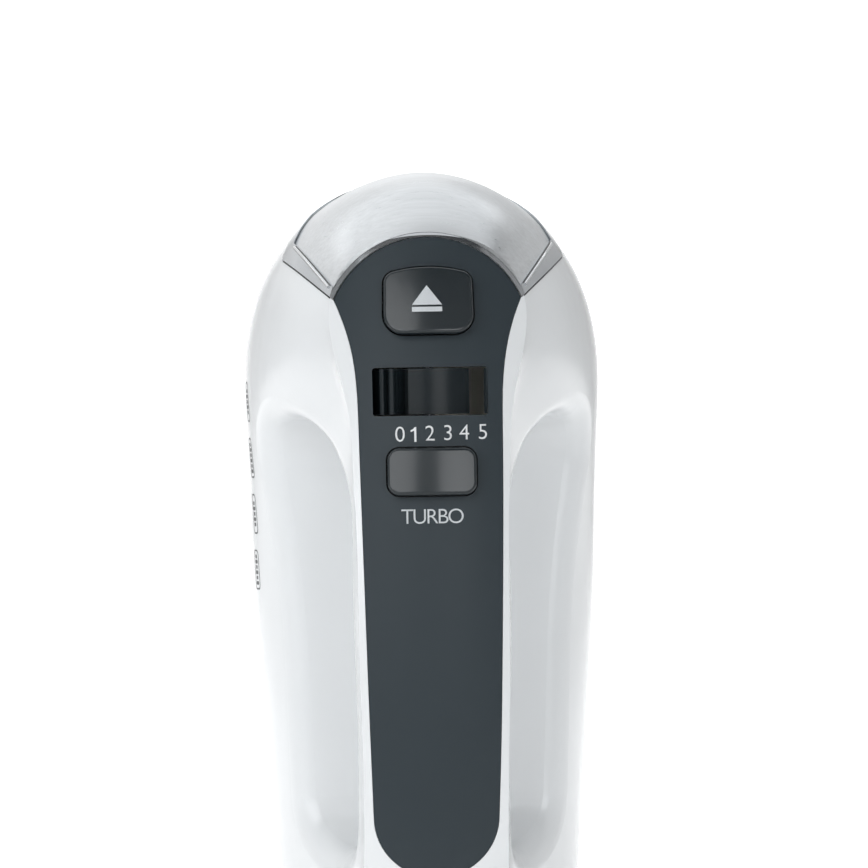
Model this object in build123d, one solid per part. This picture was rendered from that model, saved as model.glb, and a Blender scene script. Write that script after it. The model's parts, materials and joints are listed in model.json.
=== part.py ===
from build123d import *
import math
import os

# A hand mixer, built the way it comes apart on a bench.
#
# Row frame: the mixer stands on its heel, with the origin at the middle of the heel's rest plane.
# +Z runs from the heel to the nose, +X is the right-hand side, -Y points out of the top of the
# handle, and the beaters point along +Y. A height, written h, is measured up from the underside
# as the mixer is held in use, so a point (x, h, z) lies at row (x, UNDERSIDE_Y - h, z).

# ---------------------------------------------------------------- driving dimensions (mm)

UNDERSIDE_Y = 46.0
REAR_Z = 0.8                # the housing's heel stands this far clear of the floor, on its pads
REAR_CORNER_R = 13.0
UNDERSIDE_EDGE_R = 10.0
WALL = 2.5

# Slices of the housing: height, nose z, widest half-width and its z, then the half-width at
# z = 130, 95 and 55 and at the heel.
SLICES = [
    (0, 181.0, 38.0, 146, 38.0, 37.0, 35.0, 32.0),
    (14, 188.0, 42.5, 147, 42.3, 41.3, 39.3, 36.4),
    (32, 193.0, 44.6, 147, 44.4, 43.3, 41.2, 38.2),
    (50, 195.0, 45.0, 147, 44.6, 43.0, 40.8, 37.6),
    (65, 195.3, 43.8, 147, 42.6, 37.8, 35.6, 33.6),
    (79, 194.8, 41.0, 147, 37.8, 28.5, 27.0, 26.6),
    (91, 192.4, 36.8, 148, 31.2, 22.2, 21.4, 21.2),
    (102, 187.2, 31.0, 150, 24.6, 19.6, 18.9, 18.6),
    (111, 178.6, 25.0, 154, 20.2, 19.0, 18.2, 17.6),
    (122, 163.0, 21.5, 150, 19.2, 18.6, 17.8, 17.0),
    (135, 140.0, 20.0, 132, 19.0, 18.4, 17.6, 16.6),
]

# Side view (z, h) of the crown, the top of the nose and handle, from beyond the nose to the heel.
CROWN_LINE = [
    (206, 96.5), (178.4, 111.3), (150, 121.6), (118, 128.6), (85, 131.0),
    (52, 128.6), (26, 119.5), (8, 101), (0, 80), (-12, 61), (-24, 42),
]
CROWN_R = 46.0              # radius of the crown across its width
CROWN_ARC_HALF = 26.0

# Side view (z, h) of the finger gap: corner points and the radius of each.
GAP_CORNERS = [
    (27, 69, 12), (131, 69, 12), (136, 91, 11), (112, 100.5, 40), (62, 100.5, 60), (26, 94, 12),
]
GAP_WALL = 4.0
GAP_RIM_R = 7.0

PANEL_T = 2.5
PANEL_GAP = 0.12
PANEL_TIP_X, PANEL_TIP_Z = 22.9, 162.3      # the two sharp corners beside the arch
PANEL_TOP_Z = 177.3
PANEL_EDGE = [(19.6, 153), (18.1, 145), (17.4, 130), (16.6, 90), (15.9, 60)]
PANEL_END_HALF = 15.2
PANEL_END_Z = 37.0

BEZEL_PROUD = 0.4
BEZEL_ARCH_W = 0.95
BEZEL_SEAT = 1.4
PLATE_SUNK = 0.2
PLATE_T = 1.0
PLATE_SIDE = [(22.9, 165.3), (31.9, 177.2)]         # side edge of the plate seen from above
BEZEL_SIDE = [(22.9, 162.3), (35.3, 173.6)]         # outer edge of the bezel seen from above
PLATE_FRONT = [(60, 112), (32.6, 80), (27, 61), (20, 52)]      # (x, h) outline seen from the nose
BEZEL_FRONT = [(66, 108), (35.9, 79), (29.6, 59), (21.4, 49)]

EJECT_Z = 161.6
EJECT_W, EJECT_L = 22.0, 16.4
EJECT_TRAVEL = 6.0
EJECT_BASE_H = 106.0
TURBO_Z = 120.3
TURBO_W, TURBO_L, TURBO_R = 21.4, 11.4, 3.0
TURBO_TRAVEL = 2.5
TURBO_BASE_H = 118.5
BUTTON_PROUD = 3.4
BUTTON_GAP = 0.35
BUTTON_EDGE_R = 0.9

DIAL_Z = 139.6
DIAL_H = 106.3
DIAL_W = 11.0
DIAL_R = 17.0
DIAL_PIN_R = 1.5
KNOB_R = 21.4
KNOB_ANGLE = -30.0          # the knob at position 0, measured from straight up towards +X
SLOT_W, SLOT_L = 27.8, 11.7

MOTOR_H = 35.0
SHAFT_R = 3.0
STATOR_W, STATOR_H = 56.0, 52.0
STATOR_Z = (66.0, 90.0)
CORE_R = 15.0
STATOR_BORE_R = 15.6
MOTOR_SCREW_X, MOTOR_SCREW_H = 23.0, 21.0

GEAR_X, GEAR_Z = 21.0, 152.0        # a beater's axis
GEAR_TEETH = 28
WORM_STARTS = 2
GEAR_PITCH_R = 17.0
WORM_PITCH_R = GEAR_X - GEAR_PITCH_R
GEAR_TIP_R, GEAR_ROOT_R = 17.8, 15.7
WORM_TIP_R, WORM_ROOT_R = 5.0, 2.9
GEAR_H = (30.0, 40.0)
PRESSURE_ANGLE = math.radians(20)
BACKLASH = 0.6

SPINDLE_R, SPINDLE_BORE_R = 5.5, 3.2
SPINDLE_HEIGHTS = (1.5, 51.5)
BUSH_R = 7.5
RUNNING_GAP = 0.05
BEATER_SHAFT_R = 3.1
BEATER_TIP_H = 49.0
WIRE_R = 1.1
BEATER_R = 24.0
BEATER_END_H = -126.0

SCREW_R = 1.5
# housing screws: z, height, and the depth of the head's seat from the middle plane
HOUSING_SCREWS = [
    (13, 14, 30), (12, 62, 27), (119, 11, 35), (182, 40, 23), (34, 108.5, 13.5), (101, 110, 14.5),
]

GLAND_Z, GLAND_H = 12.6, 106.6
GLAND_BORE_R, GLAND_R, GLAND_FLANGE_R = 3.5, 4.8, 6.8
GLAND_LENGTH = 14.0

PAD_R = 5.0
PAD_PLACES = [(0, 46), (-22, 20), (22, 20), (-20, 66), (20, 66)]       # (x, h)

CENTRED = (Align.CENTER, Align.CENTER, Align.MIN)


# ---------------------------------------------------------------- planes and plain bodies

def level(h):
    """Plane at height h: local axes along row X and Z, normal towards the handle."""
    return Plane((0, UNDERSIDE_Y - h, 0), x_dir=(1, 0, 0), z_dir=(0, -1, 0))


SIDE = Plane((0, UNDERSIDE_Y, 0), x_dir=(0, 0, 1), z_dir=(1, 0, 0))        # local (z, h)
FRONT = Plane((0, UNDERSIDE_Y, 0), x_dir=(1, 0, 0), z_dir=(0, 0, -1))      # local (x, h)


def block(xs, hs, zs):
    """Box between two values of x, of height and of z."""
    size = [b - a for a, b in (xs, hs, zs)]
    middle = Pos(sum(xs)/2, UNDERSIDE_Y - sum(hs)/2, sum(zs)/2)
    return middle * Box(*size)


def bar_z(radius, zs, x=0.0, h=MOTOR_H):
    """Round bar along Z."""
    return Pos(x, UNDERSIDE_Y - h, zs[0]) * Cylinder(radius, zs[1] - zs[0], align=CENTRED)


def bar_h(radius, hs, x=0.0, z=0.0):
    """Round bar along the height."""
    return extrude(level(hs[0]) * Pos(x, z) * Circle(radius), amount=hs[1] - hs[0])


def bar_x(radius, xs, h, z):
    """Round bar along X."""
    start = Pos(xs[0], UNDERSIDE_Y - h, z) * Rot(0, 90, 0)
    return start * Cylinder(radius, xs[1] - xs[0], align=CENTRED)


def tube_z(outer, inner, zs, x=0.0, h=MOTOR_H):
    return bar_z(outer, zs, x, h) - bar_z(inner, zs, x, h)


def prism_h(sketch, hs, x=0.0, z=0.0):
    """Upright prism of a sketch drawn in (x, z)."""
    return extrude(level(hs[0]) * Pos(x, z) * sketch, amount=hs[1] - hs[0])


def prism_z(sketch, zs):
    """Prism along Z of a sketch drawn in (x, h) about the motor's axis."""
    return Pos(0, UNDERSIDE_Y - MOTOR_H, zs[0]) * extrude(sketch, amount=zs[1] - zs[0])


def coil_spring(radius, wire_r, turns, length):
    """Helical spring along its own +Z."""
    helix = Helix(pitch=length/turns, height=length, radius=radius)
    start = Plane(helix @ 0, x_dir=(1, 0, 0), z_dir=helix % 0)
    return sweep(start * Circle(wire_r), path=helix, is_frenet=True)


# ---------------------------------------------------------------- the housing's outer form

def slice_face(row, inset):
    """One level slice of the housing, moved inwards by inset."""
    h, nose, widest, widest_z, w130, w95, w55, rear = row
    nose, widest, w130, w95, w55, rear = (v - inset for v in (nose, widest, w130, w95, w55, rear))
    corner = REAR_CORNER_R - inset/2
    back = REAR_Z + inset
    reach = nose - widest_z
    side = [(rear, back + corner), (w55, 55), (w95, 95), (w130, min(130, widest_z - 6))]
    side.append((widest, widest_z))
    for turn in (28, 56):
        angle = math.radians(turn)
        side.append((widest*math.cos(angle), widest_z + reach*math.sin(angle)))
    mirrored = [(-x, z) for x, z in reversed(side)]
    lean = (w55 - rear)/(55 - back - corner)
    with BuildSketch(level(max(h, inset))) as sketch:
        with BuildLine():
            Spline(*side, (0, nose), *mirrored, tangents=[(lean, 1), (lean, -1)])
            RadiusArc((-rear, back + corner), (-rear + corner, back), -corner)
            Line((-rear + corner, back), (rear - corner, back))
            RadiusArc((rear - corner, back), (rear, back + corner), -corner)
        make_face()
    return sketch.sketch


def above_crown(drop):
    """Everything above the crown lowered by drop."""
    with BuildLine(SIDE) as line:
        Spline(*CROWN_LINE)
    path = line.line
    radius = CROWN_R - drop
    half = CROWN_ARC_HALF
    rise = math.sqrt(radius**2 - half**2)
    sag = -drop - (radius - rise)
    reach, top = 64.0, 60.0
    edge = sag - half/rise*(reach - half)
    with BuildSketch(Plane(path @ 0, x_dir=(1, 0, 0), z_dir=path % 0)) as section:
        with BuildLine():
            ThreePointArc((-half, sag), (0, -drop), (half, sag))
            Polyline((half, sag), (reach, edge), (reach, top), (-reach, top), (-reach, edge),
                     (-half, sag))
        make_face()
    return sweep(section.sketch, path=path)


def form(inset):
    """The mixer's closed outer form, without its finger gap, moved inwards by inset."""
    bell = loft([slice_face(row, inset) for row in SLICES])
    return bell - above_crown(inset)


def round_underside(body, inset):
    floor_y = UNDERSIDE_Y - inset
    rim = body.edges().filter_by(lambda e: abs(e.center().Y - floor_y) < 0.001)
    return fillet(rim, UNDERSIDE_EDGE_R - inset)


def finger_gap(grow):
    """The finger gap, right through from side to side, with its outline grown."""
    with BuildSketch(SIDE) as outline:
        with BuildLine():
            Polyline(*[(z, h) for z, h, _ in GAP_CORNERS], close=True)
        make_face()
        for z, h, radius in GAP_CORNERS:
            fillet(outline.vertices().sort_by_distance((z, h))[0], radius)
        if grow:
            offset(amount=grow)
    return extrude(outline.sketch, 70, both=True)


def outer_body():
    body = round_underside(form(0), 0) - finger_gap(0)

    def on_rim(edge):
        place = edge.center()
        h = UNDERSIDE_Y - place.Y
        return abs(place.X) > 10 and 60 < h < 104 and 22 < place.Z < 140

    return fillet(body.edges().filter_by(on_rim), GAP_RIM_R)


# ---------------------------------------------------------------- outlines on the crown

def panel_outline(inset=0.0):
    """Arch at the nose, two sharp corners, and a long strip that ends rounded near the heel."""
    tip = (PANEL_TIP_X - inset, PANEL_TIP_Z - inset/2)
    end_half = PANEL_END_HALF - inset
    edge = [tip, *[(x - inset, z) for x, z in PANEL_EDGE], (end_half, PANEL_END_Z)]
    mirrored = [(-x, z) for x, z in reversed(edge)]
    with BuildSketch() as sketch:
        with BuildLine():
            ThreePointArc(mirrored[-1], (0, PANEL_TOP_Z - inset), edge[0])
            Spline(*edge, tangents=[(-0.45, -1), (-0.03, -1)])
            ThreePointArc(edge[-1], (0, PANEL_END_Z - end_half), mirrored[0])
            Spline(*mirrored, tangents=[(-0.03, 1), (-0.45, 1)])
        make_face()
    return sketch.sketch


def arch_radius():
    rise = PANEL_TOP_Z - PANEL_TIP_Z
    return (PANEL_TIP_X**2 + rise**2)/(2*rise)


def eject_outline():
    """Rounded key with an arched front edge."""
    x, z = EJECT_W/2, EJECT_L/2
    with BuildSketch() as sketch:
        with BuildLine():
            ThreePointArc((-x + 0.3, z - 1.7), (0, z), (x - 0.3, z - 1.7))
            Polyline((x - 0.3, z - 1.7), (x, -z), (-x, -z), (-x + 0.3, z - 1.7))
        make_face()
        fillet(sketch.vertices().sort_by(Axis.Y)[2:], 3.0)
        fillet(sketch.vertices().sort_by(Axis.Y)[:2], 4.8)
    return sketch.sketch


def turbo_outline():
    return RectangleRounded(TURBO_W, TURBO_L, TURBO_R)


def slot_outline():
    return RectangleRounded(SLOT_W, SLOT_L, 0.8)


def nose_region(side, front, arch_r, grow=0.0):
    """Prism over the nose ahead of the panel's arch, bounded seen from above and from the nose."""
    (x0, z0), (x1, z1) = side
    run = math.hypot(x1 - x0, z1 - z0)
    ux, uz = (x1 - x0)/run, (z1 - z0)/run
    x0, z0 = x0 + grow*uz, z0 - grow*ux
    far = (x0 + 60*ux, z0 + 60*uz)
    with BuildSketch(level(30)) as top:
        with BuildLine():
            Polyline((x0, z0), far, (-far[0], far[1]), (-x0, z0), (0, z0 - 12), close=True)
        make_face()
        with Locations((0, PANEL_TOP_Z - arch_radius())):
            Circle(arch_r - grow, mode=Mode.SUBTRACT)
    right = [(x + grow, h - grow) for x, h in front]
    left = [(-x, h) for x, h in reversed(right)]
    with BuildSketch(FRONT) as face:
        with BuildLine():
            Polyline((right[0][0], 140), *right, *left, (left[-1][0], 140), close=True)
        make_face()
        fillet(face.vertices().filter_by(lambda v: abs(v.X) < 28.5), 7)
        fillet(face.vertices().filter_by(lambda v: 28.5 < abs(v.X) < 29.8), 20)
    return extrude(top.sketch, 110) & extrude(face.sketch, -210)


def clear_prism(sketch, z, grow, hs=(95, 140)):
    return prism_h(offset(sketch, amount=grow), hs, 0, z)


# ---------------------------------------------------------------- casing and trim

def housing_shell(body):
    """The whole casing as one shell: hollow, with its seats and openings."""
    hollow = round_underside(form(WALL), WALL) - finger_gap(GAP_WALL)
    shell = body - hollow
    shell -= extrude(level(60) * panel_outline(), 80) & above_crown(PANEL_T)
    nose = nose_region(BEZEL_SIDE, BEZEL_FRONT, arch_radius() + 0.05, 0.08)
    shell -= nose - form(BEZEL_SEAT)
    openings = [
        clear_prism(eject_outline(), EJECT_Z, BUTTON_GAP),
        clear_prism(turbo_outline(), TURBO_Z, BUTTON_GAP),
        prism_h(slot_outline(), (DIAL_H, 140), 0, DIAL_Z),
        bar_z(DIAL_R + 1, (DIAL_Z - SLOT_L/2, DIAL_Z + SLOT_L/2), 0, DIAL_H),
        gland_plane() * Pos(0, 0, -8) * Cylinder(GLAND_R, 20, align=CENTRED),
        gland_plane() * Pos(0, 0, -1) * Cylinder(GLAND_FLANGE_R, 20, align=CENTRED),
    ]
    for side in (-1, 1):
        openings.append(bar_h(8.6, (-1, 6), side*GEAR_X, GEAR_Z))
        for row in range(8):
            vent = RectangleRounded(24, 2.2, 1.05)
            openings.append(prism_h(vent, (-1, 6), side*17, 56 + 5.5*row))
    openings += [bar_z(PAD_R, (0, 1.6), x, h) for x, h in PAD_PLACES]
    shell -= openings
    return shell


def housing_half(shell, side):
    """One casing half, with its screw bosses. The screws go in from the right."""
    near, far = 0.04, 60
    xs = (near, far) if side > 0 else (-far, -near)
    half = shell & block(xs, (-20, 150), (-20, 220))
    inside = form(1.2) - finger_gap(2)
    for z, h, seat in HOUSING_SCREWS:
        half += bar_x(4.4, xs, h, z) & inside
    for z, h, seat in HOUSING_SCREWS:
        if side > 0:
            half -= bar_x(SCREW_R + 0.3, (0, seat), h, z)
            half -= bar_x(3.4, (seat, far), h, z)
        else:
            half -= bar_x(SCREW_R, (-10, 0), h, z)
    return half


def housing_screws():
    screws = []
    for z, h, seat in HOUSING_SCREWS:
        screw = bar_x(SCREW_R, (-9, seat), h, z) + bar_x(3.0, (seat, seat + 2), h, z)
        screw -= block((seat + 1, seat + 3), (h - 2.2, h + 2.2), (z - 0.35, z + 0.35))
        screw -= block((seat + 1, seat + 3), (h - 0.35, h + 0.35), (z - 2.2, z + 2.2))
        screws.append(screw)
    return Compound(screws)


def control_panel():
    slab = extrude(level(60) * panel_outline(PANEL_GAP), 80) & above_crown(PANEL_T)
    panel = slab - above_crown(0)
    panel -= clear_prism(eject_outline(), EJECT_Z, BUTTON_GAP)
    panel -= clear_prism(turbo_outline(), TURBO_Z, BUTTON_GAP)
    panel -= prism_h(slot_outline(), (DIAL_H, 140), 0, DIAL_Z)
    return panel


def nose_bezel():
    band = nose_region(BEZEL_SIDE, BEZEL_FRONT, arch_radius() + 0.12)
    band -= nose_region(PLATE_SIDE, PLATE_FRONT, arch_radius() + 0.12 + BEZEL_ARCH_W)
    return band & (form(-BEZEL_PROUD) - form(BEZEL_SEAT))


def nose_plate():
    window = nose_region(PLATE_SIDE, PLATE_FRONT, arch_radius() + 0.2 + BEZEL_ARCH_W, -0.06)
    return window & (form(PLATE_SUNK) - form(PLATE_SUNK + PLATE_T))


def socket_rings():
    """Trim rings round the two beater sockets, clipped into the underside."""
    rings = []
    for side in (-1, 1):
        ring = bar_h(8.6, (-0.6, 2.5), side*GEAR_X, GEAR_Z) + bar_h(10, (-1.2, 0), side*GEAR_X, GEAR_Z)
        ring -= bar_h(6.6, (-2, 3), side*GEAR_X, GEAR_Z)
        rings.append(ring)
    return Compound(rings)


def heel_pads():
    return Compound([fillet(bar_z(PAD_R - 0.1, (0, 1.6), x, h).edges().sort_by(Axis.Z)[0], 0.5)
                     for x, h in PAD_PLACES])


def gland_plane():
    """Plane on the crown above the heel, facing out along the cord's way."""
    slope = math.sqrt(0.5)
    return Plane((0, UNDERSIDE_Y - GLAND_H, GLAND_Z), x_dir=(1, 0, 0), z_dir=(0, -slope, -slope))


def cord_gland():
    gland = Pos(0, 0, -GLAND_LENGTH + 2) * Cylinder(GLAND_R - 0.05, GLAND_LENGTH, align=CENTRED)
    gland += Pos(0, 0, -1) * Cylinder(GLAND_FLANGE_R - 0.1, 3, align=CENTRED)
    gland = fillet(gland.edges().sort_by(Axis.Z)[-1], 0.8)
    gland -= Pos(0, 0, -GLAND_LENGTH) * Cylinder(GLAND_BORE_R, 2*GLAND_LENGTH, align=CENTRED)
    return gland_plane() * gland


# ---------------------------------------------------------------- keys and dial

def key(outline, z, base_h, ceiling_h):
    """Hollow push key with a retaining lip, its top following the crown."""
    body = prism_h(outline, (base_h, 135), 0, z) - above_crown(-BUTTON_PROUD)
    body = fillet(body.faces().sort_by(Axis.Y)[0].edges(), BUTTON_EDGE_R)
    body += prism_h(offset(outline, amount=1.5), (base_h, base_h + 1.4), 0, z)
    return body - prism_h(offset(outline, amount=-1.8), (base_h - 1, ceiling_h), 0, z)


def eject_button():
    return key(eject_outline(), EJECT_Z, EJECT_BASE_H, 111.5)


def turbo_button():
    body = key(turbo_outline(), TURBO_Z, TURBO_BASE_H, 124)
    return body + bar_h(1.8, (115.2, 125), 0, TURBO_Z)


def dial_sector(inner, outer, start, end):
    """Ring sector about the dial's axis. Angles run from straight up towards +X."""
    steps = [math.radians(a) for a in (start, (start + end)/2, end)]
    rim = [(outer*math.sin(a), -outer*math.cos(a)) for a in steps]
    root = [(inner*math.sin(a), -inner*math.cos(a)) for a in steps]
    with BuildSketch() as sketch:
        with BuildLine():
            ThreePointArc(*rim)
            Line(rim[2], root[2])
            ThreePointArc(*reversed(root))
            Line(root[0], rim[0])
        make_face()
    return sketch.sketch


def speed_dial():
    """Drum sector with a twin-ribbed thumb knob and a plate on each side that closes the slot."""
    plate_near, plate_far = 12.0, 64.0
    drum = dial_sector(12.6, 14.5, KNOB_ANGLE - plate_far, KNOB_ANGLE + plate_far)
    for side in (-1, 1):
        angles = sorted((KNOB_ANGLE + side*plate_near, KNOB_ANGLE + side*plate_far))
        drum += dial_sector(14.4, DIAL_R, *angles)
    drum += dial_sector(14.4, 19.2, KNOB_ANGLE - 5.6, KNOB_ANGLE + 5.6)
    for rib in (-3.6, 3.6):
        drum += dial_sector(19, KNOB_R, KNOB_ANGLE + rib - 1.7, KNOB_ANGLE + rib + 1.7)
    dial = extrude(drum, DIAL_W)
    ribs = dial.edges().filter_by(Axis.Z).filter_by(
        lambda e: math.hypot(e.center().X, e.center().Y) > KNOB_R - 0.1)
    dial = fillet(ribs, 0.45)
    web = dial_sector(3, 13, KNOB_ANGLE - plate_far, KNOB_ANGLE + plate_far) + Circle(4)
    dial += Pos(0, 0, 4) * extrude(web, 3)
    dial += Cylinder(4, DIAL_W, align=CENTRED)
    dial -= Cylinder(DIAL_PIN_R, DIAL_W, align=CENTRED)
    return Pos(0, UNDERSIDE_Y - DIAL_H, DIAL_Z - DIAL_W/2) * dial


def dial_pin():
    return bar_z(DIAL_PIN_R, (128.5, 148.6), 0, DIAL_H)


def dial_bracket(inner):
    """Shelf with an upright on each side of the dial, and two rails that carry the turbo switch."""
    bracket = block((-30, 30), (98, 99.8), (131, 148)) & inner
    bracket += block((-10, 10), (99, 110), (131, 133))
    bracket += block((-5, 5), (99, 110), (146.2, 148))
    for xs in ((-10, -7), (7, 10)):
        bracket += block(xs, (103.4, 105), (115.5, 132))
    return bracket - bar_z(DIAL_PIN_R + RUNNING_GAP, (130, 150), 0, DIAL_H)


def speed_switch():
    """Rotary switch on the rear upright, turned by the end of the dial's pin."""
    body = bar_z(5.5, (124, 131), 0, DIAL_H)
    body -= bar_z(DIAL_PIN_R + RUNNING_GAP, (128, 131), 0, DIAL_H)
    for x in (-3, 0, 3):
        body += block((x - 0.6, x + 0.6), (102.6, 103.2), (120.5, 125))
    return body


def turbo_switch():
    body = block((-10, 10), (105, 111.6), (115.5, 123.8))
    return body + bar_h(1.6, (111.6, 112.4), 0, TURBO_Z)


def turbo_spring():
    place = Pos(0, UNDERSIDE_Y - 112.4, TURBO_Z) * Rot(90, 0, 0)
    return place * coil_spring(2.75, 0.35, 6, 10.8)


# ---------------------------------------------------------------- ejector

def ejector_frame():
    """Yoke over both beater shafts, on a stem under the eject key."""
    yoke = block((-GEAR_X - 3.5, GEAR_X + 3.5), (58.5, 62), (GEAR_Z - 4, GEAR_Z + 4))
    yoke += block((-6, 6), (58.5, 62), (GEAR_Z, EJECT_Z + 4))
    yoke = fillet(yoke.edges().filter_by(Axis.Y), 1.5)
    yoke += bar_h(3, (60, 111.5), 0, EJECT_Z)
    yoke += bar_h(5.6, (103, 104.5), 0, EJECT_Z)
    for side in (-1, 1):
        yoke += bar_h(2.6, (BEATER_TIP_H + 0.3, 60), side*GEAR_X, GEAR_Z)
    return yoke


def ejector_guide(inner):
    shelf = block((-45, 45), (84, 86.5), (155, 168)) & inner
    shelf += bar_h(6, (82, 84), 0, EJECT_Z)
    return shelf - bar_h(3 + RUNNING_GAP, (80, 90), 0, EJECT_Z)


def eject_spring():
    place = Pos(0, UNDERSIDE_Y - 87.1, EJECT_Z) * Rot(90, 0, 0)
    return place * coil_spring(4.4, 0.5, 7, 15.3)


# ---------------------------------------------------------------- motor

def stator_outline():
    return RectangleRounded(STATOR_W, STATOR_H, 6)


def motor_screw_places():
    return [(sx*MOTOR_SCREW_X, sh*MOTOR_SCREW_H) for sx in (-1, 1) for sh in (-1, 1)]


def motor_stator():
    section = stator_outline() - Circle(STATOR_BORE_R) - RectangleRounded(45, 20.4, 1.5)
    for place in motor_screw_places():
        section -= Pos(*place) * Circle(2.0)
    return prism_z(section, STATOR_Z)


def field_coils():
    """Two saddle coils, each round one pole of the stator."""
    coils = []
    for side in (-1, 1):
        half = Pos(0, side*12.6) * Rectangle(60, 24)
        ring = (Circle(21.6) - Circle(16.3)) & half
        coil = prism_z(ring, (60, 65.7)) + prism_z(ring, (90.3, 96))
        for x in (-1, 1):
            leg = Pos(x*18.95, side*5.2) * RectangleRounded(5.1, 9.2, 1)
            coil += prism_z(leg, (60.5, 95.5))
        coils.append(coil)
    return Compound(coils)


def motor_end(zs, bush_r):
    """Cast end bracket, a frame round a bearing seat held by four arms."""
    plate = RectangleRounded(54, 50, 6) - RectangleRounded(42, 38, 8)
    plate += Rectangle(7, 44) + Rectangle(48, 7) + Circle(bush_r + 3)
    plate -= Circle(bush_r)
    for place in motor_screw_places():
        plate -= Pos(*place) * Circle(1.7)
    return prism_z(plate, zs)


def motor_bracket_rear():
    bracket = motor_end((37, 40), 6)
    for side in (-1, 1):
        bracket += prism_z(Pos(side*22.5, 0) * Rectangle(7, 7), (40, 49.5))
    return bracket


def motor_bracket_front():
    return motor_end((110, 113), 6)


def bush(zs, bore):
    return tube_z(6, bore + RUNNING_GAP, zs)


def motor_screws():
    screws = []
    for x, h in motor_screw_places():
        screw = bar_z(1.6, (36, 115), x, MOTOR_H + h) + bar_z(3, (34.4, 36.9), x, MOTOR_H + h)
        screws.append(screw)
    return Compound(screws)


def armature_section(slots_only=False):
    slots = [Rot(0, 0, 30*k) * Pos(11, 0) * Rectangle(6.4, 2.4) for k in range(12)]
    if slots_only:
        return slots
    section = Circle(CORE_R) - Circle(SHAFT_R)
    for k, slot in enumerate(slots):
        section -= slot
        section -= Rot(0, 0, 30*k) * Pos(14.5, 0) * Rectangle(2, 1.1)
    return section


def armature_core():
    return prism_z(armature_section(), STATOR_Z)


def armature_windings():
    """Copper in the twelve slots, with a rounded end turn at each end."""
    end_turn = Circle(13.9) - Circle(7)
    winding = None
    for zs in ((61, 66), (90, 95)):
        ring = prism_z(end_turn, zs)
        rim = ring.edges().sort_by(Axis.Z)[:2] if zs[0] < 70 else ring.edges().sort_by(Axis.Z)[-2:]
        ring = fillet(rim, 1.8)
        winding = ring if winding is None else winding + ring
    for k in range(12):
        bar = Rot(0, 0, 30*k) * Pos(10.9, 0) * Rectangle(5.6, 2.0)
        winding += prism_z(bar, (65, 91))
    return winding


def commutator():
    section = Circle(10) - Circle(SHAFT_R)
    for k in range(24):
        section -= Rot(0, 0, 15*k) * Pos(9.7, 0) * Rectangle(1.2, 0.5)
    return prism_z(section, (47, 60))


def cooling_fan():
    section = Circle(23) - Circle(SHAFT_R)
    fan = prism_z(section, (98, 99.2)) + prism_z(Circle(6.5) - Circle(SHAFT_R), (98, 105))
    for k in range(13):
        blade = Rot(0, 0, 360*k/13) * Pos(15, 0) * Rot(0, 0, 24) * Rectangle(14, 1.1)
        fan += prism_z(blade, (99, 105.5))
    return fan


def brush_holders():
    holders = []
    for side in (-1, 1):
        xs = sorted((side*11.2, side*27))
        holder = block(xs, (31, 39), (49.5, 57.5))
        holder -= block(xs, (32.4, 37.6), (51, 56))
        holders.append(holder + block(sorted((side*26, side*27)), (31.5, 38.5), (50, 57)))
    return Compound(holders)


def carbon_brushes():
    return Compound([block(sorted((s*10.35, s*19)), (32.5, 37.5), (51.1, 55.9)) for s in (-1, 1)])


def brush_springs():
    springs = []
    for side in (-1, 1):
        place = Pos(side*19.4, UNDERSIDE_Y - MOTOR_H, 53.5) * Rot(0, side*90, 0)
        springs.append(place * coil_spring(1.7, 0.3, 5, 6.2))
    return Compound(springs)


def motor_cradle(inner):
    """Rib ring that holds the stator in the casing."""
    slab = block((-50, 50), (3.2, 64.6), (74, 81)) & inner
    return slab - prism_z(offset(stator_outline(), amount=0.1), (70, 85))


# ---------------------------------------------------------------- worm and gears

def worm_lead():
    return 2*math.pi*GEAR_PITCH_R/GEAR_TEETH*WORM_STARTS


def worm_shaft():
    """Motor shaft with the two-start worm cut at its front end."""
    shaft = bar_z(SHAFT_R, (33, 117)) + bar_z(WORM_ROOT_R, (116, 166)) + bar_z(2.5, (165, 175.5))
    lead = worm_lead()
    half = (lead/WORM_STARTS - BACKLASH)/4 - BACKLASH/8
    slope = math.tan(PRESSURE_ANGLE)
    inner, outer = WORM_ROOT_R - 0.3, WORM_TIP_R
    flank = [(outer, half - (outer - WORM_PITCH_R)*slope), (inner, half + (WORM_PITCH_R - inner)*slope)]
    helix = Helix(pitch=lead, height=3*lead, radius=WORM_PITCH_R)
    section = [(r - WORM_PITCH_R, t) for r, t in flank]
    section += [(x, -t) for x, t in reversed(section)]
    profile = Plane(helix @ 0, x_dir=(1, 0, 0), z_dir=(0, 1, 0)) * make_face(Polyline(*section, close=True))
    thread = sweep(profile, path=helix, is_frenet=True)
    start = Pos(0, UNDERSIDE_Y - MOTOR_H, GEAR_Z - 1.5*lead)
    for start_angle in (0, 180):
        shaft += start * Rot(0, 0, start_angle) * thread
    return shaft


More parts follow.
